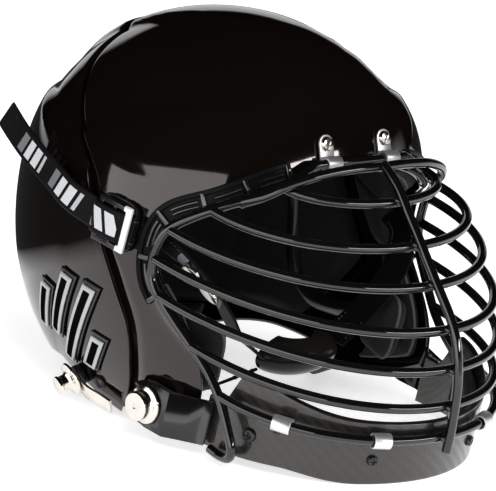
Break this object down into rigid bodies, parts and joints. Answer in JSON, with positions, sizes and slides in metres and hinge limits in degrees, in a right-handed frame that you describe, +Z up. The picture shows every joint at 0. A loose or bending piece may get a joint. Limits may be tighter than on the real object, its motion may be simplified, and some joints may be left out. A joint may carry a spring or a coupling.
{
  "type": "bull riding helmet",
  "caption": "Hard rodeo helmet with lapped front and rear shells, a hinged welded wire face mask, a chin guard on side arms, padded liner, straps and snaps.",
  "frame": {"origin": "centre of the overall box on the floor that the helmet stands on", "axes": "+Z up, the face looks along -Y, +X is the wearer's left"},
  "size_m": [0.246, 0.3514, 0.2366],
  "materials": {
    "shell": "glossy black, faint brown cast",
    "trim": "satin black moulded trim",
    "liner": "dark cloth-faced foam liner",
    "pad": "black covered comfort pad",
    "clip_metal": "bright nickel clips, snaps and knobs",
    "wire": "gloss black coated steel wire",
    "guard": "clear-coated twill composite",
    "arm": "gloss black plate",
    "dark_metal": "blackened steel screws and studs",
    "webbing": null,
    "buckle": "satin black buckle base",
    "buckle_metal": "bright buckle frame",
    "cup": "dark smooth chin cup",
    "badge": "raised black badge base",
    "badge_metal": "light silver badge bars"
  },
  "bodies": {
    "shell": {"front_shell": "shell", "rear_shell": "shell", "face_trim": "trim", "crown_liner": "liner", "side_liners": "liner", "rear_liner": "liner", "brow_pad": "pad", "ear_pads": "pad", "jaw_pads": "pad", "nape_pad": "pad", "brow_clips": "clip_metal", "brow_screws": "clip_metal", "arm_studs": "dark_metal", "strap_posts": "buckle", "post_screws": "dark_metal", "outer_straps": "webbing", "buckle_bases": "buckle", "buckle_frames": "buckle_metal", "inner_straps": "webbing", "inner_snaps": "clip_metal", "lower_straps": "webbing", "chin_cup": "cup", "chin_cup_pad": "pad", "badge_bases": "badge", "badge_bars": "badge_metal"},
    "mask": {"hinge_wire": "wire", "perimeter_wires": "wire", "brow_wire": "wire", "bar_1": "wire", "bar_2": "wire", "bar_3": "wire", "bar_4": "wire", "bar_5": "wire", "bar_6": "wire", "bar_7": "wire", "centre_bar": "wire", "chin_guard": "guard", "guard_liner": "pad", "guard_arms": "arm", "guard_clips": "clip_metal", "guard_screws": "dark_metal"},
    "right_knob": {"right_knob": "clip_metal"},
    "left_knob": {"left_knob": "clip_metal"},
    "right_snap": {"right_snap": "clip_metal"},
    "left_snap": {"left_snap": "clip_metal"}
  },
  "joints": [
    {"name": "mask_swing", "type": "hinge", "parent": "shell", "child": "mask", "pos_m": [0, -0.07538, 0.17015], "axis": [-1, 0, 0], "range_deg": [0, 60]},
    {"name": "right_knob_pull", "type": "slide", "parent": "shell", "child": "right_knob", "axis": [-1, 0, 0], "range_m": [0, 0.014]},
    {"name": "left_knob_pull", "type": "slide", "parent": "shell", "child": "left_knob", "axis": [1, 0, 0], "range_m": [0, 0.014]},
    {"name": "right_snap_pull", "type": "slide", "parent": "shell", "child": "right_snap", "axis": [-0.8916, 0.2111, -0.4005], "range_m": [0, 0.009]},
    {"name": "left_snap_pull", "type": "slide", "parent": "shell", "child": "left_snap", "axis": [0.8916, 0.2111, -0.4005], "range_m": [0, 0.009]}
  ]
}
